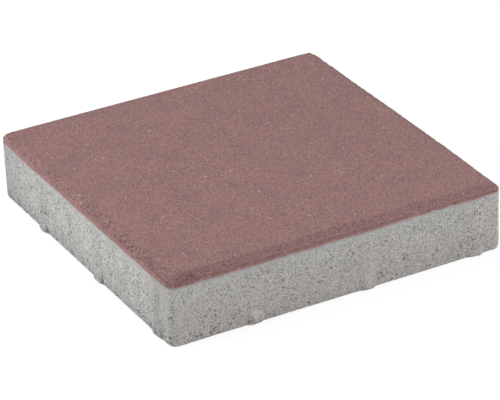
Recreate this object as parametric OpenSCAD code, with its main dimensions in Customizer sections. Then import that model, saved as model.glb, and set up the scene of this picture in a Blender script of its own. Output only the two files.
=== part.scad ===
// Square concrete paving slab, cast in two layers in one mould:
// a grey backing and a thin coloured facing pressed onto it.
// The slab lies face up. The origin is the centre of its underside.

/* [Slab] */
// Laying grid: the slab's side plus one joint
grid_size = 300; // [240:10:600]
// Width of the joint between neighbouring slabs
joint_width = 3; // [3:0.5:8]
// Thickness of the whole slab
slab_thickness = 60; // [40:5:120]
// Radius of the four upright corners
corner_radius = 6; // [6:0.5:12]

/* [Facing] */
// Thickness of the coloured facing layer
facing_thickness = 10; // [8:0.5:20]
// How far the bevel round the walking face runs in
bevel_run = 4; // [1:0.25:4.25]
// How far the bevel round the walking face drops
bevel_drop = 4; // [1:0.5:7]
// Width of the level ledge between the bevel and the slab's side
ledge_width = 1.5; // [0.5:0.25:1.75]

/* [Spacer nibs] */
// Play left between a nib's crest and the neighbouring slab
nib_play = 0.5; // [0:0.1:1]
// Distance along each side from the grid corner to the first nib's middle
nib_first = 25; // [22:1:60]
// Distance from one nib's middle to the next
nib_pitch = 100; // [50:5:150]
// Width of a nib where it leaves the side
nib_foot_width = 16; // [12:1:20]
// Width of a nib's flat crest
nib_crest_width = 9; // [4:1:11]
// Distance from the walking face down to the top of the nibs
nib_top_gap = 15; // [10:1:30]
// Height of the slope in which a nib's top runs out
nib_top_slope = 5; // [2:1:10]

/* [Hidden] */
$fn = 96;

slab_width = grid_size - joint_width;
backing_thickness = slab_thickness - facing_thickness;
straight_width = slab_width - 2 * corner_radius;
ledge_height = facing_thickness - bevel_drop;
bevel_inset = ledge_width + bevel_run;

nib_proud = joint_width - nib_play;
nib_height = slab_thickness - nib_top_gap;
// Depth to which a nib is rooted in the slab
nib_root = corner_radius / 2;
// The last nib's foot stays clear of the rounded corner
nib_reach = grid_size - joint_width / 2 - corner_radius - nib_foot_width / 2;
nib_count = floor((nib_reach - nib_first) / nib_pitch) + 1;

facing_colour = [0.58, 0.45, 0.44];
backing_colour = [0.66, 0.65, 0.64];

// Places its child at the axis of each of the four rounded corners
module at_corners() {
    for (x = [-1, 1], y = [-1, 1])
        translate([x, y] * straight_width / 2) children();
}

// Outline of the slab seen from above
module slab_outline() {
    square([straight_width, slab_width], center = true);
    square([slab_width, straight_width], center = true);
    at_corners() circle(corner_radius);
}

// Section of the facing from an upright axis out to the slab's side
module facing_section(reach) {
    polygon([
        [0, 0],
        [reach, 0],
        [reach, ledge_height],
        [reach - ledge_width, ledge_height],
        [reach - bevel_inset, facing_thickness],
        [0, facing_thickness]
    ]);
}

// Bar of the facing with its full section, as long as the straight part of a side
module facing_bar() {
    rotate([90, 0, 0])
        linear_extrude(straight_width, center = true)
            for (turn = [0, 1]) mirror([turn, 0]) facing_section(slab_width / 2);
}

// Outline of a nib seen from above, growing out of the side at y = 0
module nib_outline() {
    polygon([
        [nib_foot_width / 2, nib_root],
        [nib_foot_width / 2, 0],
        [nib_crest_width / 2, -nib_proud],
        [-nib_crest_width / 2, -nib_proud],
        [-nib_foot_width / 2, 0],
        [-nib_foot_width / 2, nib_root]
    ]);
}

// Outline of a nib seen along the side, with the slope at its top
module nib_profile() {
    polygon([
        [nib_root, 0],
        [-nib_proud, 0],
        [-nib_proud, nib_height - nib_top_slope],
        [0, nib_height],
        [nib_root, nib_height]
    ]);
}

module spacer_nib() {
    intersection() {
        linear_extrude(nib_height) nib_outline();
        rotate([90, 0, 90])
            linear_extrude(nib_foot_width, center = true) nib_profile();
    }
}

// One side's row of nibs, counted from the right-hand grid corner
module nib_row() {
    for (i = [0 : nib_count - 1])
        translate([grid_size / 2 - nib_first - i * nib_pitch, -slab_width / 2, 0])
            spacer_nib();
}

// Coloured layer with the walking face, its bevel and its ledge
module facing_layer() {
    color(facing_colour)
        translate([0, 0, backing_thickness]) {
            facing_bar();
            rotate(90) facing_bar();
            at_corners() rotate_extrude() facing_section(corner_radius);
        }
}

// Grey layer with the underside and the spacer nibs. The rows follow each
// other round the slab, so that nibs of neighbouring slabs pass each other.
module backing_layer() {
    color(backing_colour) {
        linear_extrude(backing_thickness) slab_outline();
        for (side = [0 : 3]) rotate(-90 * side) nib_row();
    }
}

facing_layer();
backing_layer();
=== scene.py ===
"""Concrete paving slab: a red facing on a grey backing, pressed in one mould.

Each layer starts as a square block whose sides are cut into fine cells. Its upright corners are
rounded, and its skin is then pushed in and out into grains, pores, crumbled edges and nibs.
"""

import math

import bmesh
import bpy
from bpy.props import FloatProperty, FloatVectorProperty, IntProperty, PointerProperty
from mathutils import Matrix, Vector, noise


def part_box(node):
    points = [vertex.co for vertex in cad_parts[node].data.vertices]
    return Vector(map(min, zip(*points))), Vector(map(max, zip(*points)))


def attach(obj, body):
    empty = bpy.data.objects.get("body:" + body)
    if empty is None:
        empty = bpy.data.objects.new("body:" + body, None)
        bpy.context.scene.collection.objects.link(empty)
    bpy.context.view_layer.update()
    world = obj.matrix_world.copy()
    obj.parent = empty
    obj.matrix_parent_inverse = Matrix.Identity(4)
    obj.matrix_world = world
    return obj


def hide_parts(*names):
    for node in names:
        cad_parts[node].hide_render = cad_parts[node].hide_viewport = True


bl_info = {
    "name": "Concrete Paving Slab",
    "version": (1, 0, 0),
    "blender": (4, 5, 0),
    "location": "3D View > Sidebar > Slab",
    "description": "Two-layer paving slab with nibs and pores, and a studio stage",
    "category": "Add Mesh",
}

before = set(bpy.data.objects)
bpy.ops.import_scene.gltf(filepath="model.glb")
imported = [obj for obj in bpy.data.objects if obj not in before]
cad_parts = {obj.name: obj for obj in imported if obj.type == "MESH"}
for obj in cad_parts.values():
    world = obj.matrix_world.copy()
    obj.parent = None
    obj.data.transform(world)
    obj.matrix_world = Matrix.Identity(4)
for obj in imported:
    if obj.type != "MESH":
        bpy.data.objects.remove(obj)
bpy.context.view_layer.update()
FACING_LOW, FACING_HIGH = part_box("facing_layer")
BACKING_LOW, BACKING_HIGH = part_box("backing_layer")

MM = 0.001
TINY = 0.01 * MM
HALF_WIDTH = FACING_HIGH.x
TOP = FACING_HIGH.z
LAYER_LINE = FACING_LOW.z
NIB_PROUD = BACKING_HIGH.x - FACING_HIGH.x

# The three corners that differ from the plain one at the back right
BRUISED = Vector((-HALF_WIDTH, -HALF_WIDTH))
SAGGING = Vector((HALF_WIDTH, -HALF_WIDTH))
SHARP = Vector((-HALF_WIDTH, HALF_WIDTH))

# A hidden face has a finely cut rim, a margin inside that, and one large face in the middle
RIM = 1 * MM
MARGIN = 9 * MM

# Rows of cells from the foot to the top of each surface
FACING_SIDE_ROWS = 7
LEDGE_ROWS = 2
BEVEL_ROWS = 7
BACKING_SIDE_ROWS = 56


# ------------------------------------------------------------------ settings


def length(name, description, default, low, high):
    """A length in metres that a user can change; the sizes given are millimetres"""
    return FloatProperty(
        name=name, description=description, unit="LENGTH", precision=5,
        default=default * MM, min=low * MM, max=high * MM)


def colour(name, description, red, green, blue):
    """A colour that a user can change"""
    return FloatVectorProperty(
        name=name, description=description, subtype="COLOR", size=4,
        default=(red, green, blue, 1), min=0, max=1)


class SlabShape(bpy.types.PropertyGroup):
    """Sizes of the slab's edges and nibs"""

    corner_radius: length("Corner Radius", "Radius of the four upright corners", 6, 6, 12)
    bevel_run: length("Bevel Run", "How far the bevel runs in from the ledge", 4, 1, 4.25)
    bevel_drop: length("Bevel Drop", "How far the bevel drops below the walking face", 4, 1, 7)
    ledge_width: length("Ledge Width", "Width of the level ledge outside the bevel", 1.5, 0.5, 1.75)
    joint_width: length("Joint Width", "Joint between two slabs on the laying grid", 3, 3, 8)
    nib_first: length("First Nib", "From the grid corner to the first nib's middle", 25, 22, 60)
    nib_pitch: length("Nib Pitch", "From one nib's middle to the next", 100, 50, 150)
    nib_foot: length("Nib Foot", "Width of a nib where it leaves the side", 16, 12, 20)
    nib_crest: length("Nib Crest", "Width of a nib's crest", 9, 4, 11)
    nib_top_gap: length("Nib Top Gap", "From the walking face down to the nibs' tops", 15, 10, 30)
    nib_top_slope: length("Nib Top Slope", "Height in which a nib's top runs out", 5, 2, 10)
    nib_spread: length("Nib Spread", "How far a nib's foot runs out into the side", 3, 0, 6)
    front_spread: length("Front Nib Spread", "The same for the front, whose nibs are crisp", 0.5, 0, 6)


class SlabRelief(bpy.types.PropertyGroup):
    """How rough the slab's skin is, and how finely it is cut"""

    cells: IntProperty(
        name="Cells", description="Cells along one side of the walking face",
        default=180, min=20, max=200)
    grain: length("Grain", "Height of the sandy grain on the sides", 0.22, 0, 1)
    face_grain: length("Face Grain", "Height of the grain on the walking face", 0.07, 0, 0.5)
    bevel_grain: length("Bevel Grain", "Height of the grain on the bevel", 0.28, 0, 1)
    pore_depth: length("Pore Depth", "Depth of the open pores on the sides", 1.0, 0, 4)
    bow: length("Bow", "How far the sides bow in and out", 0.4, 0, 2)
    sag: length("Sag", "How far the right corner's top hangs", 1.2, 0, 2)
    line_wave: length("Layer Line Wave", "How far the line between the layers waves", 0.9, 0, 3)
    line_lift: length("Layer Line Lift", "How far the layer line rises at the sides", 0.5, 0, 2)
    crumble: length("Crumble", "Depth of the crumbled line below the ledge", 0.8, 0, 3)
    nib_crack: length("Nib Crack", "Depth of the cracks along the nibs' feet", 0.9, 0, 3)
    bottom_wear: length("Bottom Wear", "Radius to which the bottom edge is worn", 3.0, 0.1, 6)
    chipping: length("Chipping", "Depth of the chips along the bottom edge", 0.05, 0, 3)
    edge_wear: length("Edge Wear", "How far the walking face's edge is worn down", 0.35, 0, 1)
    corner_wear: length("Corner Wear", "How far the corners are worn down", 1.8, 0, 3)
    corner_bulge: length("Corner Bulge", "How far the fuller corners stand out", 0.5, 0, 2)
    corner_fill: length("Corner Fill", "How far the bevel is filled up at the sharp corner", 1.2, 0, 3)
    corner_tip: length("Corner Tip", "How far the fuller corners' tips are rounded off", 0.9, 0, 2)


class SlabColours(bpy.types.PropertyGroup):
    """Colours of the two kinds of concrete"""

    facing: colour("Facing", "The red facing", 0.302, 0.172, 0.165)
    # Painted shade: the facing's pits, holes and crumbled groove are painted towards this dark red,
    # which the stain also darkens towards
    facing_pore_shade: colour("Facing Pore Shade", "Bottom of the pores in the facing", 0.13, 0.07, 0.07)
    facing_fleck: colour("Facing Flecks", "Pale sand in the facing", 0.57, 0.43, 0.395)
    backing: colour("Backing", "The grey backing", 0.463, 0.466, 0.454)
    # Painted shade: the backing's pits, holes and the cracks at the nibs' feet are painted towards
    # this dark colour
    backing_pore_shade: colour("Backing Pore Shade", "Bottom of the pores in the backing", 0.115, 0.092, 0.082)
    backing_fleck: colour("Backing Flecks", "Pale sand in the backing", 0.68, 0.67, 0.64)
    stain: colour("Stain", "Brownish stain low on the front", 0.37, 0.335, 0.31)
    # Painted shade and dirt: this grey darkens the lower sides as painted contact shade and dirt, one
    # side of each nib as painted shade, and the sides towards their ends
    grime_and_shade: colour("Grime and Shade", "Grey grime low on the other sides and at their ends", 0.20, 0.20, 0.195)
    tint: colour("Tint", "Reddish fines mixed into the backing", 0.46, 0.39, 0.37)
    paste: colour("Paste", "Smooth cement paste right under the facing", 0.45, 0.45, 0.435)


class SlabStage(bpy.types.PropertyGroup):
    """Floor, lamps and camera"""

    ambient: FloatProperty(
        name="Ambient", description="Strength of the even light from all round",
        default=0.5, min=0, max=2)
    left_strength: FloatProperty(
        name="Left Lamp", description="How strongly the left lamp lights what faces it",
        default=0.61, min=0, max=5)
    right_strength: FloatProperty(
        name="Right Lamp", description="How strongly the right lamp lights what faces it",
        default=0.41, min=0, max=5)
    top_strength: FloatProperty(
        name="Top Lamp", description="How strongly the top lamp lights what faces it",
        default=0.08, min=0, max=5)
    lamp_distance: FloatProperty(
        name="Lamp Distance", description="From the slab to each lamp",
        default=1.8, min=1, max=10, unit="LENGTH")
    lamp_size: FloatProperty(
        name="Lamp Size", description="Width of each lamp",
        default=1.2, min=0.1, max=6, unit="LENGTH")
    floor_size: FloatProperty(
        name="Floor Size", description="Side of the square floor",
        default=8, min=1, max=50, unit="LENGTH")
    camera_distance: FloatProperty(
        name="Camera Distance", description="From the slab to the camera",
        default=2.4530, min=0.5, max=10, unit="LENGTH")
    camera_turn: FloatProperty(
        name="Camera Turn", description="From straight ahead round to the left of the slab",
        default=math.radians(28.089), subtype="ANGLE")
    camera_tilt: FloatProperty(
        name="Camera Tilt", description="How far the camera looks down",
        default=math.radians(27.800), subtype="ANGLE")
    camera_roll: FloatProperty(
        name="Camera Roll", description="How far the camera leans to its right",
        default=math.radians(2.120), subtype="ANGLE")
    camera_lens: FloatProperty(
        name="Camera Lens", description="Focal length on a 36 mm sensor, in millimetres",
        default=217.81, min=20, max=500)


class SlabSettings(bpy.types.PropertyGroup):
    """All settings of the slab and its stage"""

    shape: PointerProperty(type=SlabShape)
    relief: PointerProperty(type=SlabRelief)
    colours: PointerProperty(type=SlabColours)
    stage: PointerProperty(type=SlabStage)


# ------------------------------------------------------------------ small sums


def rise(low, high, value):
    """0 up to low, 1 from high on, with a smooth slope between them"""
    t = min(max((value - low) / (high - low), 0.0), 1.0)
    return t * t * (3 - 2 * t)


def wobble(place, size, seed):
    """Smooth noise, about -0.7 to 0.7, whose humps are about size wide; each seed has its own"""
    return noise.noise(place / size + Vector((seed, -seed, 0.5 * seed)))


def rubble(place, size, seed):
    """Rough noise, about -1 to 1, like broken stone"""
    shifted = place / size + Vector((seed, -seed, 0.5 * seed))
    return noise.fractal(shifted, 0.8, 2.1, 3)


def outline(place, radius):
    """Distance in from the slab's rounded outline, and the level direction out of it"""
    straight = HALF_WIDTH - radius
    past_x = abs(place.x) - straight
    past_y = abs(place.y) - straight
    way_x = math.copysign(1, place.x)
    way_y = math.copysign(1, place.y)
    if past_x > 0 and past_y > 0:
        reach = math.hypot(past_x, past_y)
        return radius - reach, Vector((way_x * past_x, way_y * past_y, 0)) / reach
    if past_x > past_y:
        return radius - past_x, Vector((way_x, 0, 0))
    return radius - past_y, Vector((0, way_y, 0))


# ------------------------------------------------------------------ blocks of fine cells


def block(low, high):
    """Square block between two heights, as wide as the slab"""
    bm = bmesh.new()
    size = Matrix.Diagonal((2 * HALF_WIDTH, 2 * HALF_WIDTH, high - low, 1))
    bmesh.ops.create_cube(bm, size=1, matrix=Matrix.Translation((0, 0, (low + high) / 2)) @ size)
    return bm


def inset(bm, pick, width, lift=0.0):
    """Draws a ring inside the top or bottom face, picked with max or min, and lifts that face"""
    face = pick(bm.faces, key=lambda each: each.calc_center_median().z)
    bmesh.ops.inset_region(bm, faces=[face], thickness=width, depth=lift, use_even_offset=True)


def square_inset(vert):
    """Distance in from the block's outline while that is still square"""
    return HALF_WIDTH - max(abs(vert.co.x), abs(vert.co.y))


def cut_between(bm, ends, pieces):
    """Cuts the edges that join two places, each given as (inset, height), into pieces"""
    wanted = sorted(ends)
    found = []
    for edge in bm.edges:
        places = sorted((square_inset(vert), vert.co.z) for vert in edge.verts)
        if all(math.dist(a, b) < TINY for a, b in zip(places, wanted)):
            found.append(edge)
    bmesh.ops.subdivide_edges(bm, edges=found, cuts=pieces - 1, use_grid_fill=True)


def cut_along(bm, reach, pieces):
    """Cuts the edges that run along the sides, at insets picked by reach, into pieces"""
    found = []
    for edge in bm.edges:
        a, b = edge.verts
        along = abs(square_inset(a) - square_inset(b)) < TINY and abs(a.co.z - b.co.z) < TINY
        if along and reach(square_inset(a), a.co.z):
            found.append(edge)
    bmesh.ops.subdivide_edges(bm, edges=found, cuts=pieces - 1, use_grid_fill=True)


def round_corners(bm, radius):
    """Turns each square corner region of the block into a quarter disc"""
    straight = HALF_WIDTH - radius
    for vert in bm.verts:
        past_x = abs(vert.co.x) - straight
        past_y = abs(vert.co.y) - straight
        if past_x <= 0 or past_y <= 0:
            continue
        reach = max(past_x, past_y)
        turn = math.pi / 4 * min(past_x, past_y) / reach
        if past_y > past_x:
            turn = math.pi / 2 - turn
        vert.co.x = math.copysign(straight + reach * math.cos(turn), vert.co.x)
        vert.co.y = math.copysign(straight + reach * math.sin(turn), vert.co.y)


def finished_piece(bm, name, masks, material):
    """Makes the mesh an object of the slab, with its masks and its material, and returns it"""
    bmesh.ops.recalc_face_normals(bm, faces=bm.faces)
    mesh = bpy.data.meshes.new(name)
    bm.to_mesh(mesh)
    bm.free()
    for mask, values in masks.items():
        mesh.attributes.new(mask, "FLOAT", "POINT").data.foreach_set("value", values)
    mesh.shade_smooth()
    mesh.materials.append(material)
    piece = bpy.data.objects.new(name, mesh)
    bpy.context.scene.collection.objects.link(piece)
    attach(piece, "root")
    return piece


# ------------------------------------------------------------------ relief


def near(corner, place, low, high):
    """1 up to low from a corner of the slab, 0 from high on"""
    return 1 - rise(low, high, (place.xy - corner).length)


def side_skin(place, relief):
    """Outward height of the skin that both layers' sides share"""
    bow = wobble(place, 90 * MM, seed=3.1) + 0.7 * wobble(place, 30 * MM, seed=6.4)
    grain = wobble(place, 8 * MM, seed=7.7) + rubble(place, 2.4 * MM, seed=1.9)
    bulge = near(SAGGING, place, 0, 14 * MM)
    bulge += near(SHARP, place, 0, 14 * MM) * rise(0, TOP, place.z)
    height = relief.bow * bow + 0.35 * relief.grain * grain + relief.corner_bulge * bulge
    return height - 0.15 * relief.corner_wear * near(BRUISED, place, 2 * MM, 11 * MM)


def layer_wave(place, relief):
    """How far the line between the layers lies above the height where they meet inside"""
    level = Vector((place.x, place.y, 0))
    wave = wobble(level, 34 * MM, seed=5.3) + 0.75 * wobble(level, 7 * MM, seed=8.1)
    lift = 2 * rise(-HALF_WIDTH, HALF_WIDTH, place.x) + 2.5 * near(BRUISED, place, 0, 45 * MM)
    return relief.line_wave * wave + relief.line_lift * lift


def sag(place, relief):
    """How far the facing hangs at a place; it does so only towards the front right corner"""
    return relief.sag * near(SAGGING, place, 0, 110 * MM)


def worn_off(place, reach):
    """How worn a place near a corner is, from 0 to 1: least on the right, none back left"""
    if place.x < 0 < place.y:
        return 0.0
    away = math.hypot(HALF_WIDTH - abs(place.x), HALF_WIDTH - abs(place.y))
    worst = 0.25 if place.x > 0 else 1.0
    return worst * (1 - rise(2 * MM, reach, away))


def turned_in(height, radius):
    """How far an edge of that radius has turned in at a height above its foot"""
    left = 1 - min(height / radius, 1.0)
    return radius * (1 - math.sqrt(1 - left * left))


def nib_shape(place, out, shape):
    """How far the nibs stand out at a place, how near it is to a nib's foot, and how near to the side
    of a nib that gets painted shade
    """
    if abs(out.x) > TINY and abs(out.y) > TINY:
        return 0.0, 0.0, 0.0
    along = HALF_WIDTH + shape.joint_width / 2 + place.x * out.y - place.y * out.x
    pitches = (along - shape.nib_first) / shape.nib_pitch
    past_middle = (pitches - round(pitches)) * shape.nib_pitch
    off_middle = abs(past_middle)
    spread = shape.front_spread if out.y < 0 else shape.nib_spread
    across = 1 - rise(shape.nib_crest / 2 - 2.5 * MM, shape.nib_foot / 2 + spread, off_middle)
    nib_top = TOP - shape.nib_top_gap
    upward = 1 - rise(nib_top - shape.nib_top_slope, nib_top, place.z)
    upward *= 1 - 0.55 * rise(4 * MM, 20 * MM, place.z)
    below_top = 1 - rise(nib_top, nib_top + 3 * MM, place.z)
    foot = 1 - rise(0.5 * MM, 2.5 * MM, abs(off_middle - shape.nib_foot / 2))
    # Painted shade: a band up one side of each nib, a few millimetres off its middle, is painted
    # darker
    shaded_flank = 1 - rise(1 * MM, 6 * MM, abs(past_middle + 3 * MM))
    return across * upward, foot * below_top, shaded_flank * below_top


def open_pit(place, left, low, lowest):
    """How deep in a pit a place on the backing is, from 0 to 1; most of them are low down"""
    clustered = 0.05 * low + 0.45 * wobble(place, 10 * MM, seed=28.8)
    clustered += 0.06 * left + (0.13 + 0.15 * left) * lowest
    pit = rise(0.50 - clustered, 0.75 - clustered, wobble(place, 2.2 * MM, seed=4.4))
    return pit * rise(0, 3 * MM, place.z)


def foot_crack(place, foot, front, lowest):
    """How deep in a crack along a nib's foot a place is, from 0 to 1"""
    stretched = Vector((place.x, place.y, 0.5 * place.z))
    crack = foot * max(lowest, 0.25 * rise(-0.25, 0.45, wobble(stretched, 4 * MM, seed=5.7)))
    return crack * (1 - 0.6 * front) * rise(-0.5, 0.3, wobble(stretched, 23 * MM, seed=1.3))


def bottom_wear(place, left, relief):
    """How far the bottom edge is worn in at a place: rounded, chipped and off at the corners"""
    arris = 1 - rise(0, 4 * MM, place.z)
    worn = worn_off(place, 16 * MM) * rise(-HALF_WIDTH, HALF_WIDTH, place.x)
    depth = turned_in(place.z, relief.bottom_wear * (1 + 0.35 * left))
    depth += relief.chipping * arris * rise(-0.1, 0.6, wobble(place, 5 * MM, seed=6.1))
    return depth + relief.corner_wear * worn * (1 - rise(0, 10 * MM, place.z))


def grime_and_shade_share(place, shaded_flank):
    """How much painted shade and dirt a side other than the front gets: painted contact shade and dirt
    low down, darker towards its ends, and painted shade up one side of each nib
    """
    up = rise(0, 26 * MM, place.z)
    back_end = 0.43 * rise(70 * MM, 140 * MM, place.y)
    front_end = 0.43 * (0.45 + 0.45 * up) * rise(85 * MM, 145 * MM, -place.y)
    return 0.38 * (1 - up) + back_end + front_end + 0.3 * up * shaded_flank


def backing_side(place, out, shape, relief):
    """Outward height of the backing's side, with its masks"""
    front = max(0.0, -out.y)
    left = max(0.0, -out.x)
    loose = rise(1 * MM, 7 * MM, LAYER_LINE - place.z)
    low = rise(LAYER_LINE, 0, place.z)
    lowest = rise(0, 4 * MM, place.z) * (1 - rise(2 * MM, 13 * MM, place.z))
    nib, foot, shaded_flank = nib_shape(place, out, shape)
    pit = open_pit(place, left, low, lowest)
    crack = foot_crack(place, foot, front, lowest)

    drag = Vector((place.x / 3, place.y / 3, place.z / 40)) / MM
    grain = loose * rubble(place, 2.8 * MM, seed=11.0) + 0.6 * noise.noise(drag)
    whole = 0.88 + 0.35 * wobble(place, 7 * MM, seed=2.2) - 0.4 * near(BRUISED, place, 5 * MM, 45 * MM)
    height = side_skin(place, relief) + relief.grain * grain + NIB_PROUD * nib * whole
    height -= loose * relief.pore_depth * pit + relief.nib_crack * crack
    height -= bottom_wear(place, left, relief)

    rubbed = max(nib, 0.45 * rise(127 * MM, 135 * MM, place.x))
    rubbed *= front * loose * rise(-0.1, 0.4, wobble(place, 12 * MM, seed=3.3))
    # Painted shade: the pits and the cracks along the nibs' feet are marked for painting dark as shade
    masks = {"pore_shade": loose * (0.65 + 0.35 * left) * min(1.0, pit + 0.8 * crack),
             "stain": front * (0.3 + 0.35 * low),
             # Painted shade and dirt on the sides other than the front: low down, up one side of each
             # nib, and towards the ends
             "grime_and_shade": (1 - front) * grime_and_shade_share(place, shaded_flank),
             "streak": 1 - 0.75 * front,
             "rubbed": rubbed}
    return height, masks


def dress_backing(bm, shape, relief):
    """Pushes the backing's skin into shape and returns its masks, one value a vertex"""
    masks = {"pore_shade": [], "stain": [], "grime_and_shade": [], "streak": [], "rubbed": [],
             "below_line": []}
    for vert in bm.verts:
        place = vert.co.copy()
        inward, out = outline(place, shape.corner_radius)
        on_rim = inward < 2 * RIM
        found = {}
        if inward < TINY or (on_rim and place.z < TINY):
            height, found = backing_side(place + out * inward, out, shape, relief)
            vert.co += out * height
        if on_rim:
            near_line = rise(LAYER_LINE - 6 * MM, LAYER_LINE, place.z)
            vert.co.z += near_line * layer_wave(place, relief)
        found["below_line"] = LAYER_LINE - place.z
        for mask, values in masks.items():
            values.append(found.get(mask, 0.0))
    return masks


def facing_side(place, out, ledge, relief):
    """Outward height of the facing's side below the ledge, and the mask that paints the crumbled
    groove dark as shade
    """
    front = max(0.0, -out.y)
    below = ledge - place.z
    groove = rise(0.2 * MM, 1.2 * MM, below) * (1 - rise(1.6 * MM, 3.8 * MM, below))
    broken = rise(-0.65, 0.25, wobble(place, 5 * MM, seed=3.9))
    broken *= groove * (0.35 + 0.65 * front)
    return side_skin(place, relief) - relief.crumble * broken, 0.75 * broken


def broken_up(place, out):
    """How broken the facing's edge is at a place, from 0 to 1; most so on the left"""
    broken = 0.15 + 0.6 * max(0.0, -out.x) + 0.6 * near(BRUISED, place, 15 * MM, 80 * MM)
    return min(max(broken + 0.9 * wobble(place, 25 * MM, seed=2.9), 0.0), 1.0)


def facing_top(place, inward, out, shape, relief):
    """Height of the facing's skin above the ledge, with masks for the painted shade in its pits, for
    roughness and for stain
    """
    bevel_inset = shape.ledge_width + shape.bevel_run
    bevel = 1 - rise(bevel_inset - 0.5 * MM, bevel_inset + 3.5 * MM, inward)
    slope = 1 - rise(bevel_inset - 2 * MM, bevel_inset, inward)
    rough = bevel * broken_up(place, out) + 0.05 * near(BRUISED, place, 20 * MM, 160 * MM)
    stain = bevel * (0.25 + 0.75 * max(0.0, -out.y))
    grain = relief.face_grain + slope * rough * (relief.bevel_grain - relief.face_grain)
    pit = rise(0.60 - 0.40 * rough, 0.85 - 0.40 * rough, wobble(place, 2.2 * MM, seed=14.4))
    lip = 1 - rise(0, 1.6 * MM, inward)
    height = grain * (rubble(place, 2.2 * MM, seed=12.5) - 3 * pit)
    height -= 0.4 * relief.crumble * lip * rise(0.0, 0.6, wobble(place, 4 * MM, seed=6.6))
    if inward < shape.ledge_width + TINY:
        rough = stain = near(BRUISED, place, 12 * MM, 40 * MM)
    return height, pit * (0.3 + 0.45 * rough), rough, stain


def corner_lift(place, inward, ledge, relief):
    """How far the bevel is filled up at the sharp corner, less what both fuller tips have lost"""
    below_top = 1 - rise(ledge, TOP, place.z)
    filled = below_top * rise(0, 1.5 * MM, inward) * near(SHARP, place, 4 * MM, 16 * MM)
    tip = max(near(SHARP, place, 2 * MM, 10 * MM), near(SAGGING, place, 2 * MM, 10 * MM))
    return relief.corner_fill * filled - relief.corner_tip * tip * (1 - rise(0, 1.6 * MM, inward))


def facing_wear(place, inward, bevel_inset, relief):
    """How far wear lowers the walking face at its edge and its corners"""
    edge = (1 - rise(0, 3 * MM, abs(inward - bevel_inset))) * (1 - rise(0, HALF_WIDTH, place.y))
    return relief.edge_wear * edge + relief.corner_wear * worn_off(place, 20 * MM)


def dress_facing(bm, shape, relief):
    """Pushes the facing's skin into shape and returns its masks, one value a vertex"""
    masks = {"pore_shade": [], "rough": [], "stain": [], "below_line": []}
    ledge = TOP - shape.bevel_drop
    bevel_inset = shape.ledge_width + shape.bevel_run
    bm.normal_update()
    moves = []
    for vert in bm.verts:
        place = vert.co.copy()
        inward, out = outline(place, shape.corner_radius)
        pore_shade = rough = stain = 0.0
        move = Vector()
        if inward < TINY and place.z < ledge - TINY:
            height, pore_shade = facing_side(place, out, ledge, relief)
            rough = near(BRUISED, place, 12 * MM, 40 * MM)
            stain = 0.6
            move += out * height
            near_line = 1 - rise(LAYER_LINE, ledge, place.z)
            move.z += near_line * layer_wave(place, relief) - (1 - near_line) * sag(place, relief)
        elif place.z > LAYER_LINE + TINY:
            height, pore_shade, rough, stain = facing_top(place, inward, out, shape, relief)
            move += vert.normal * height
            move += out * side_skin(place, relief) * (1 - rise(0, bevel_inset, inward))
            above_ledge = rise(ledge - TINY, TOP, place.z)
            wear = above_ledge * facing_wear(place, inward, bevel_inset, relief)
            move.z += corner_lift(place, inward, ledge, relief) - sag(place, relief) - wear
        elif inward < 2 * RIM:
            move.z += layer_wave(place, relief)
        moves.append(move)
        masks["pore_shade"].append(pore_shade)
        masks["rough"].append(rough)
        masks["stain"].append(stain)
        masks["below_line"].append(LAYER_LINE - place.z)
    for vert, move in zip(bm.verts, moves):
        vert.co += move
    return masks


# ------------------------------------------------------------------ shader helpers


class Nodes:
    """Adds and joins nodes in one node tree"""

    def __init__(self, tree):
        self.tree = tree

    def add(self, kind, **choices):
        """A new node of that kind with its choices set"""
        node = self.tree.nodes.new(kind)
        for choice, value in choices.items():
            setattr(node, choice, value)
        return node

    def feed(self, socket, value):
        """Links value to the socket, or writes it there if it is a plain number or colour"""
        if isinstance(value, bpy.types.NodeSocket):
            self.tree.links.new(value, socket)
        else:
            socket.default_value = value

    def sum(self, operation, a, b=0.0, c=0.0):
        """One Math node; a, b and c are sockets or numbers"""
        node = self.add("ShaderNodeMath", operation=operation)
        for socket, value in zip(node.inputs, (a, b, c)):
            self.feed(socket, value)
        return node.outputs[0]

    def remap(self, value, low, high, to_low=0.0, to_high=1.0):
        """Value brought from one range to another with smooth ends, and held there"""
        node = self.add("ShaderNodeMapRange", interpolation_type="SMOOTHSTEP")
        for name, part in (("Value", value), ("From Min", low), ("From Max", high),
                           ("To Min", to_low), ("To Max", to_high)):
            self.feed(node.inputs[name], part)
        return node.outputs["Result"]

    def sway(self, value, pattern, strength):
        """Value moved up and down by a pattern from 0 to 1, by strength in all"""
        lowered = self.sum("SUBTRACT", value, strength / 2)
        return self.sum("MULTIPLY_ADD", pattern, strength, lowered)

    def blend(self, share, a, b):
        """Colour a, turning into colour b as share goes from 0 to 1"""
        node = self.add("ShaderNodeMix", data_type="RGBA", clamp_factor=True)
        for index, value in ((0, share), (6, a), (7, b)):
            self.feed(node.inputs[index], value)
        return node.outputs[2]

    def cloud(self, vector, scale, detail=2.0, roughness=0.5):
        """Noise from 0 to 1"""
        node = self.add("ShaderNodeTexNoise")
        self.feed(node.inputs["Vector"], vector)
        self.feed(node.inputs["Scale"], scale)
        self.feed(node.inputs["Detail"], detail)
        self.feed(node.inputs["Roughness"], roughness)
        return node.outputs["Fac"]

    def mask(self, name):
        """A mask that was stored on the mesh"""
        return self.add("ShaderNodeAttribute", attribute_name=name).outputs["Fac"]


def new_group(name, inputs, outputs):
    """An empty node group whose sockets hold single values, and a Vector first"""
    group = bpy.data.node_groups.new(name, "ShaderNodeTree")
    group.interface.new_socket("Vector", in_out="INPUT", socket_type="NodeSocketVector")
    for title, default in inputs.items():
        socket = group.interface.new_socket(title, in_out="INPUT", socket_type="NodeSocketFloat")
        socket.default_value = default
    for title in outputs:
        group.interface.new_socket(title, in_out="OUTPUT", socket_type="NodeSocketFloat")
    nodes = Nodes(group)
    return nodes, nodes.add("NodeGroupInput").outputs, nodes.add("NodeGroupOutput").inputs


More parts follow.
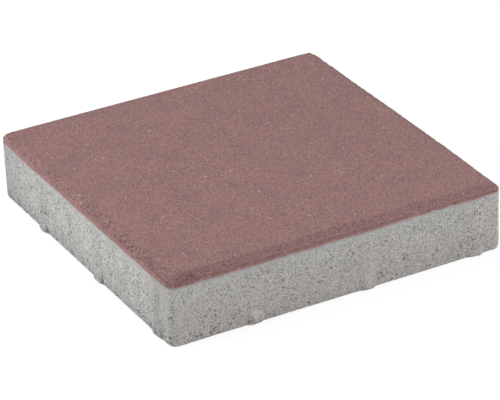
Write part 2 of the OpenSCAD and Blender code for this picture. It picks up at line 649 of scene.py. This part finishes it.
def sand_group():
    """Sand grains of two sizes, most of them dark or pale: their tone and their height"""
    nodes, given, result = new_group("Sand Grains", {"Size": MM}, ["Tone", "Height"])
    tones = []
    heights = []
    for bigger, share in ((1.0, 0.6), (1.6, 0.4)):
        size = nodes.sum("MULTIPLY", given["Size"], bigger)
        cells = nodes.add("ShaderNodeTexVoronoi")
        nodes.feed(cells.inputs["Vector"], given["Vector"])
        nodes.feed(cells.inputs["Scale"], nodes.sum("DIVIDE", 1.0, size))
        chance = nodes.add("ShaderNodeSeparateColor")
        nodes.feed(chance.inputs["Color"], cells.outputs["Color"])
        crisp = nodes.remap(chance.outputs["Green"], 0.3, 0.7)
        tones.append(nodes.sum("MULTIPLY", crisp, share))
        round_top = nodes.sum("SUBTRACT", 1.0, cells.outputs["Distance"])
        heights.append(nodes.sum("MULTIPLY", round_top, share))
    nodes.feed(result["Tone"], nodes.sum("ADD", *tones))
    nodes.feed(result["Height"], nodes.sum("ADD", *heights))
    return nodes.tree


def pore_group():
    """Small open pores, 1 inside them"""
    nodes, given, result = new_group("Open Pores", {"Size": MM, "Share": 0.1}, ["Mask"])
    scale = nodes.sum("DIVIDE", 1.0, given["Size"])
    field = nodes.cloud(given["Vector"], scale, 1.0, 0.5)
    edge = nodes.sum("SUBTRACT", 0.75, given["Share"])
    nodes.feed(result["Mask"], nodes.remap(field, edge, nodes.sum("ADD", edge, 0.07)))
    return nodes.tree


def speck_group():
    """Scattered round specks, up to 1 on them, some fainter than others"""
    nodes, given, result = new_group("Scattered Specks", {"Size": MM, "Share": 0.1}, ["Mask"])
    cells = nodes.add("ShaderNodeTexVoronoi")
    nodes.feed(cells.inputs["Vector"], given["Vector"])
    nodes.feed(cells.inputs["Scale"], nodes.sum("DIVIDE", 1.0, given["Size"]))
    chance = nodes.add("ShaderNodeSeparateColor")
    nodes.feed(chance.inputs["Color"], cells.outputs["Color"])
    chosen = nodes.sum("LESS_THAN", chance.outputs["Red"], given["Share"])
    strength = nodes.sum("MULTIPLY_ADD", chance.outputs["Blue"], 0.75, 0.25)
    shown = nodes.sum("MULTIPLY", chosen, strength)
    spot = nodes.remap(cells.outputs["Distance"], 0.25, 0.5, 1.0, 0.0)
    nodes.feed(result["Mask"], nodes.sum("MULTIPLY", shown, spot))
    return nodes.tree


def mottle_group():
    """Cloudy patches from 0 to 1"""
    nodes, given, result = new_group("Cloudy Mottling", {"Size": 20 * MM}, ["Tone"])
    scale = nodes.sum("DIVIDE", 1.0, given["Size"])
    nodes.feed(result["Tone"], nodes.remap(nodes.cloud(given["Vector"], scale, 3.0, 0.6), 0.3, 0.7))
    return nodes.tree


def drag_group():
    """Upright streaks from 0 to 1, left by the mould as the slab was pushed out"""
    nodes, given, result = new_group("Drag Marks", {"Size": 3 * MM}, ["Tone"])
    stretched = nodes.add("ShaderNodeVectorMath", operation="MULTIPLY")
    nodes.feed(stretched.inputs[0], given["Vector"])
    stretched.inputs[1].default_value = (1, 1, 0.08)
    scale = nodes.sum("DIVIDE", 1.0, given["Size"])
    streaks = nodes.cloud(stretched.outputs[0], scale, 2.0, 0.6)
    nodes.feed(result["Tone"], nodes.remap(streaks, 0.3, 0.7))
    return nodes.tree


def effect(name, maker):
    """The node group of that name, built the first time it is asked for"""
    return bpy.data.node_groups.get(name) or maker()


def place_effect(nodes, name, maker, vector, **values):
    """Places an effect's group in a material and returns its outputs"""
    node = nodes.add("ShaderNodeGroup", node_tree=effect(name, maker))
    nodes.feed(node.inputs["Vector"], vector)
    for title, value in values.items():
        nodes.feed(node.inputs[title], value)
    return node.outputs


def concrete(name, roughness):
    """A matt material of that name: its nodes, object coordinates and main shader"""
    material = bpy.data.materials.new(name)
    material.use_nodes = True
    nodes = Nodes(material.node_tree)
    shader = material.node_tree.nodes["Principled BSDF"]
    shader.inputs["Specular IOR Level"].default_value = 0.25
    shader.inputs["Roughness"].default_value = roughness
    place = nodes.add("ShaderNodeTexCoord").outputs["Object"]
    return material, nodes, place, shader


def bump(nodes, shader, height, distance):
    """Raises the shader's surface by height, from 0 to 1, times distance"""
    node = nodes.add("ShaderNodeBump")
    node.inputs["Distance"].default_value = distance
    nodes.feed(node.inputs["Height"], height)
    nodes.feed(shader.inputs["Normal"], node.outputs["Normal"])


# ------------------------------------------------------------------ materials


def shades(body, spread):
    """A colour made darker and paler by the same share"""
    dark = [(1 - spread) * part for part in body[:3]] + [1]
    pale = [(1 + spread) * part for part in body[:3]] + [1]
    return dark, pale


def facing_material(colours):
    """Red fine sandy concrete, paler where the backing shows through at the layer line"""
    material, nodes, place, shader = concrete("fine_red_concrete", 0.88)
    sand = place_effect(nodes, "Sand Grains", sand_group, place, Size=0.65 * MM)
    pores = place_effect(nodes, "Open Pores", pore_group, place, Size=1.1 * MM, Share=0.10)
    flecks = place_effect(nodes, "Scattered Specks", speck_group, place, Size=1.4 * MM, Share=0.034)
    chips = place_effect(nodes, "Scattered Specks", speck_group, place, Size=3.4 * MM, Share=0.010)
    pinholes = place_effect(nodes, "Scattered Specks", speck_group, place, Size=2.1 * MM, Share=0.032)
    clouds = place_effect(nodes, "Cloudy Mottling", mottle_group, place, Size=30 * MM)
    above = nodes.sum("MULTIPLY", nodes.mask("below_line"), -1.0)
    contrast = nodes.sum("MULTIPLY_ADD", nodes.mask("rough"), 2.0, 1.0)

    dark, pale = shades(colours.facing, 0.33)
    tone = nodes.sum("ADD", nodes.sum("MULTIPLY", sand["Tone"], 0.88),
                     nodes.sum("MULTIPLY", clouds["Tone"], 0.12))
    tone = nodes.sum("MULTIPLY_ADD", nodes.sum("SUBTRACT", tone, 0.5), contrast, 0.5)
    paint = nodes.blend(tone, dark, pale)

    stones = nodes.sum("MAXIMUM", flecks["Mask"], nodes.sum("MULTIPLY", chips["Mask"], 0.8))
    paint = nodes.blend(stones, paint, colours.facing_fleck)
    # Painted shade: pits, holes, pinholes and the crumbled groove are blended towards the dark pit
    # colour
    open_pores = nodes.sum("MAXIMUM", nodes.mask("pore_shade"), pores["Mask"])
    deep = nodes.sum("MAXIMUM", nodes.sum("MULTIPLY", open_pores, 0.6), pinholes["Mask"])
    paint = nodes.blend(deep, paint, colours.facing_pore_shade)
    stained = nodes.sum("MULTIPLY", nodes.mask("stain"), 0.2)
    paint = nodes.blend(stained, paint, colours.facing_pore_shade)
    paint = nodes.blend(nodes.remap(above, 0.0, 2.0 * MM, 0.75, 0.0), paint, colours.backing)
    nodes.feed(shader.inputs["Base Color"], paint)

    height = nodes.sum("SUBTRACT", sand["Height"], nodes.sum("MULTIPLY", pores["Mask"], 0.8))
    bump(nodes, shader, nodes.sum("MULTIPLY", height, contrast), 0.25 * MM)
    return material


def backing_material(colours):
    """Open-pored light grey concrete, smooth and a little reddish right under the facing"""
    material, nodes, place, shader = concrete("open_grey_concrete", 0.92)
    sand = place_effect(nodes, "Sand Grains", sand_group, place, Size=0.4 * MM)
    pores = place_effect(nodes, "Open Pores", pore_group, place, Size=0.8 * MM, Share=0.12)
    flecks = place_effect(nodes, "Scattered Specks", speck_group, place, Size=1.2 * MM, Share=0.10)
    pinholes = place_effect(nodes, "Scattered Specks", speck_group, place, Size=1.0 * MM, Share=0.24)
    clouds = place_effect(nodes, "Cloudy Mottling", mottle_group, place, Size=26 * MM)
    clumps = place_effect(nodes, "Cloudy Mottling", mottle_group, place, Size=12.5 * MM)
    fines = place_effect(nodes, "Cloudy Mottling", mottle_group, place, Size=2.5 * MM)
    crumbs = place_effect(nodes, "Cloudy Mottling", mottle_group, place, Size=1.8 * MM)
    bands = place_effect(nodes, "Drag Marks", drag_group, place, Size=13 * MM)
    scores = place_effect(nodes, "Drag Marks", drag_group, place, Size=2 * MM)
    below = nodes.mask("below_line")
    stain = nodes.mask("stain")
    rubbed = nodes.mask("rubbed")

    dark, pale = shades(colours.backing, 0.66)
    tone = nodes.sum("ADD", nodes.sum("MULTIPLY", sand["Tone"], 0.93),
                     nodes.sum("MULTIPLY", clouds["Tone"], 0.07))
    contrast = nodes.sum("MULTIPLY_ADD", clumps["Tone"], 0.8, 0.6)
    tone = nodes.sum("MULTIPLY_ADD", nodes.sum("SUBTRACT", tone, 0.5), contrast, 0.5)
    uneven = nodes.sway(0.0, scores["Tone"], 0.08)
    uneven = nodes.sway(uneven, bands["Tone"], 0.10)
    uneven = nodes.sway(uneven, crumbs["Tone"], 0.24)
    tone = nodes.sum("MULTIPLY_ADD", uneven, nodes.mask("streak"), tone)
    paint = nodes.blend(tone, dark, pale)

    tinted = nodes.sum("MULTIPLY_ADD", stain, 0.4, 0.12)
    tinted = nodes.sum("MULTIPLY_ADD", rubbed, 0.5, tinted)
    paint = nodes.blend(nodes.sum("MULTIPLY", fines["Tone"], tinted), paint, colours.tint)
    patchy = nodes.sum("MULTIPLY_ADD", clouds["Tone"], 0.45, 0.25)
    paint = nodes.blend(nodes.sum("MULTIPLY", stain, patchy), paint, colours.stain)
    pasty = nodes.remap(below, 2 * MM, 8 * MM, 0.45, 0.0)
    paint = nodes.blend(pasty, paint, colours.paste)
    paint = nodes.blend(nodes.sum("MULTIPLY", flecks["Mask"], 0.6), paint, colours.backing_fleck)
    paint = nodes.blend(nodes.sum("MULTIPLY", rubbed, 0.35), paint, colours.backing_fleck)

    # Painted shade: pits, holes, pinholes and the nibs' foot cracks are blended towards the dark pit
    # colour
    clumped = nodes.sum("MULTIPLY_ADD", clumps["Tone"], 1.4, stain)
    deep = nodes.sum("MAXIMUM", nodes.mask("pore_shade"), pores["Mask"])
    deep = nodes.sum("MAXIMUM", deep, nodes.sum("MULTIPLY", pinholes["Mask"], clumped))
    paint = nodes.blend(nodes.sum("MULTIPLY", deep, 0.9), paint, colours.backing_pore_shade)
    # Painted shade and dirt: darker low down, up one side of each nib and towards the ends of the
    # sides
    paint = nodes.blend(nodes.sum("MULTIPLY", nodes.mask("grime_and_shade"), 0.7), paint, colours.grime_and_shade)
    bleed = nodes.remap(below, 0.0, 1.6 * MM, 0.06, 0.0)
    paint = nodes.blend(bleed, paint, colours.facing)
    nodes.feed(shader.inputs["Base Color"], paint)

    height = nodes.sum("SUBTRACT", sand["Height"], nodes.sum("MULTIPLY", pores["Mask"], 0.8))
    bump(nodes, shader, height, 0.35 * MM)
    return material


def seen_rays(nodes):
    """1 for a ray by which the camera sees something: straight, in a gloss or through glass"""
    rays = nodes.add("ShaderNodeLightPath").outputs
    seen = nodes.sum("MAXIMUM", rays["Is Camera Ray"], rays["Is Glossy Ray"])
    return nodes.sum("MAXIMUM", seen, rays["Is Transmission Ray"])


def white_material():
    """White for light that bounces off it; to the camera it glows, but for a soft shadow"""
    material, nodes, _, shader = concrete("white_floor", 1.0)
    seen = seen_rays(nodes)
    white = (0.9, 0.9, 0.9, 1)
    shadow_catching_grey = (0.2, 0.2, 0.2, 1)
    paint = nodes.blend(seen, white, shadow_catching_grey)
    nodes.feed(shader.inputs["Base Color"], paint)
    shader.inputs["Emission Color"].default_value = (1, 1, 1, 1)
    nodes.feed(shader.inputs["Emission Strength"], nodes.sum("MULTIPLY", seen, 0.85))
    return material


# ------------------------------------------------------------------ operators


class SLAB_OT_facing(bpy.types.Operator):
    """Build the red facing with its walking face, bevel, ledge and crumbled rim"""

    bl_idname = "slab.facing"
    bl_label = "Facing Layer"

    def execute(self, context):
        slab = context.scene.paving_slab
        shape, relief = slab.shape, slab.relief
        ledge = TOP - shape.bevel_drop
        bevel_inset = shape.ledge_width + shape.bevel_run
        bm = block(LAYER_LINE, ledge)
        inset(bm, max, shape.ledge_width)
        inset(bm, max, shape.bevel_run, shape.bevel_drop)
        inset(bm, min, RIM)
        inset(bm, min, MARGIN)
        cut_between(bm, [(0, LAYER_LINE), (0, ledge)], FACING_SIDE_ROWS)
        cut_between(bm, [(0, ledge), (shape.ledge_width, ledge)], LEDGE_ROWS)
        cut_between(bm, [(shape.ledge_width, ledge), (bevel_inset, TOP)], BEVEL_ROWS)
        cut_along(bm, lambda inward, z: z > LAYER_LINE + TINY or inward < 2 * RIM, relief.cells)
        cut_along(bm, lambda inward, z: inward < bevel_inset - TINY
                  and (z > LAYER_LINE + TINY or inward < 2 * RIM), 2)
        round_corners(bm, shape.corner_radius)
        masks = dress_facing(bm, shape, relief)
        piece = finished_piece(bm, "facing", masks, facing_material(slab.colours))
        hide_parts("facing_layer")
        return {"FINISHED"}


class SLAB_OT_backing(bpy.types.Operator):
    """Build the grey backing with its spacer nibs, pores and bottom edge"""

    bl_idname = "slab.backing"
    bl_label = "Backing Layer"

    def execute(self, context):
        slab = context.scene.paving_slab
        shape, relief = slab.shape, slab.relief
        bm = block(0, LAYER_LINE)
        for pick in (min, max):
            inset(bm, pick, RIM)
            inset(bm, pick, MARGIN)
        cut_between(bm, [(0, 0), (0, LAYER_LINE)], BACKING_SIDE_ROWS)
        cut_along(bm, lambda inward, z: inward < 2 * RIM, 2 * relief.cells)
        round_corners(bm, shape.corner_radius)
        masks = dress_backing(bm, shape, relief)
        piece = finished_piece(bm, "backing", masks, backing_material(slab.colours))
        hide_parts("backing_layer")
        return {"FINISHED"}


class SLAB_OT_stage(bpy.types.Operator):
    """Lay the white floor and set the soft lamps, the even light and the camera"""

    bl_idname = "slab.stage"
    bl_label = "Stage"

    def execute(self, context):
        stage = context.scene.paving_slab.stage
        scene = context.scene
        scene.view_settings.view_transform = "Standard"
        lay_floor(scene, stage)
        light_evenly(scene, stage)
        hang_lamp(scene, stage, "left_lamp", (-0.85, 0.30, 0.42), stage.left_strength)
        hang_lamp(scene, stage, "right_lamp", (0.55, -0.72, 0.42), stage.right_strength)
        hang_lamp(scene, stage, "top_lamp", (0.0, 0.2, 0.98), stage.top_strength)
        place_camera(scene, stage)
        return {"FINISHED"}


def lay_floor(scene, stage):
    """White floor under the slab, a hair above its underside so that the two don't coincide"""
    bm = bmesh.new()
    hair = Matrix.Translation((0, 0, 0.03 * MM))
    bmesh.ops.create_grid(bm, x_segments=1, y_segments=1, size=stage.floor_size / 2, matrix=hair)
    mesh = bpy.data.meshes.new("floor")
    bm.to_mesh(mesh)
    bm.free()
    mesh.materials.append(white_material())
    floor = bpy.data.objects.new("floor", mesh)
    scene.collection.objects.link(floor)


def light_evenly(scene, stage):
    """Even white light from all round, seen by the camera as plain white"""
    world = bpy.data.worlds.new("white_room")
    world.use_nodes = True
    nodes = Nodes(world.node_tree)
    background = world.node_tree.nodes["Background"]
    background.inputs["Color"].default_value = (1, 1, 1, 1)
    strength = nodes.sum("MULTIPLY_ADD", seen_rays(nodes), 1 - stage.ambient, stage.ambient)
    nodes.feed(background.inputs["Strength"], strength)
    scene.world = world


def hang_lamp(scene, stage, name, towards, strength):
    """Large soft lamp in a direction from the slab, facing it"""
    lamp = bpy.data.lights.new(name, "AREA")
    lamp.shape = "DISK"
    lamp.size = stage.lamp_size
    # A lamp of power P lights what faces it, at distance d, with P / (pi d2); white needs pi
    lamp.energy = strength * math.pi * math.pi * stage.lamp_distance ** 2
    towards = Vector(towards).normalized()
    hung = bpy.data.objects.new(name, lamp)
    hung.matrix_world = (Matrix.Translation(towards * stage.lamp_distance)
                         @ towards.to_track_quat("Z", "Y").to_matrix().to_4x4())
    scene.collection.objects.link(hung)


def place_camera(scene, stage):
    """Camera on the slab's front left, looking down at its middle"""
    camera = bpy.data.cameras.new("camera")
    camera.sensor_width = 36
    camera.lens = stage.camera_lens
    camera.clip_end = 100
    aim = Vector((0.2, -4.8, 22.2)) * MM
    turn = Matrix.Rotation(-stage.camera_turn, 4, "Z")
    tilt = Matrix.Rotation(math.pi / 2 - stage.camera_tilt, 4, "X")
    roll = Matrix.Rotation(-stage.camera_roll, 4, "Z")
    back = Matrix.Translation((0, 0, stage.camera_distance))
    holder = bpy.data.objects.new("camera", camera)
    holder.matrix_world = Matrix.Translation(aim) @ turn @ tilt @ roll @ back
    scene.collection.objects.link(holder)
    scene.camera = holder


class SLAB_PT_sidebar(bpy.types.Panel):
    """Lists the slab's operators and settings"""

    bl_label = "Paving Slab"
    bl_idname = "SLAB_PT_sidebar"
    bl_space_type = "VIEW_3D"
    bl_region_type = "UI"
    bl_category = "Slab"

    def draw(self, context):
        slab = context.scene.paving_slab
        for operator in STEPS:
            self.layout.operator(operator.bl_idname)
        for group in (slab.shape, slab.relief, slab.colours, slab.stage):
            box = self.layout.box()
            for name in group.__annotations__:
                box.prop(group, name)


STEPS = (SLAB_OT_facing, SLAB_OT_backing, SLAB_OT_stage)
CLASSES = (SlabShape, SlabRelief, SlabColours, SlabStage, SlabSettings, *STEPS, SLAB_PT_sidebar)


def register():
    """Registers the classes and the scene's slab settings"""
    for each in CLASSES:
        bpy.utils.register_class(each)
    bpy.types.Scene.paving_slab = PointerProperty(type=SlabSettings)


def unregister():
    """Takes all of them off again"""
    del bpy.types.Scene.paving_slab
    for each in reversed(CLASSES):
        bpy.utils.unregister_class(each)


def main():
    """Builds the slab and its stage"""
    register()
    bpy.ops.slab.facing()
    bpy.ops.slab.backing()
    bpy.ops.slab.stage()


if __name__ == "__main__":
    main()
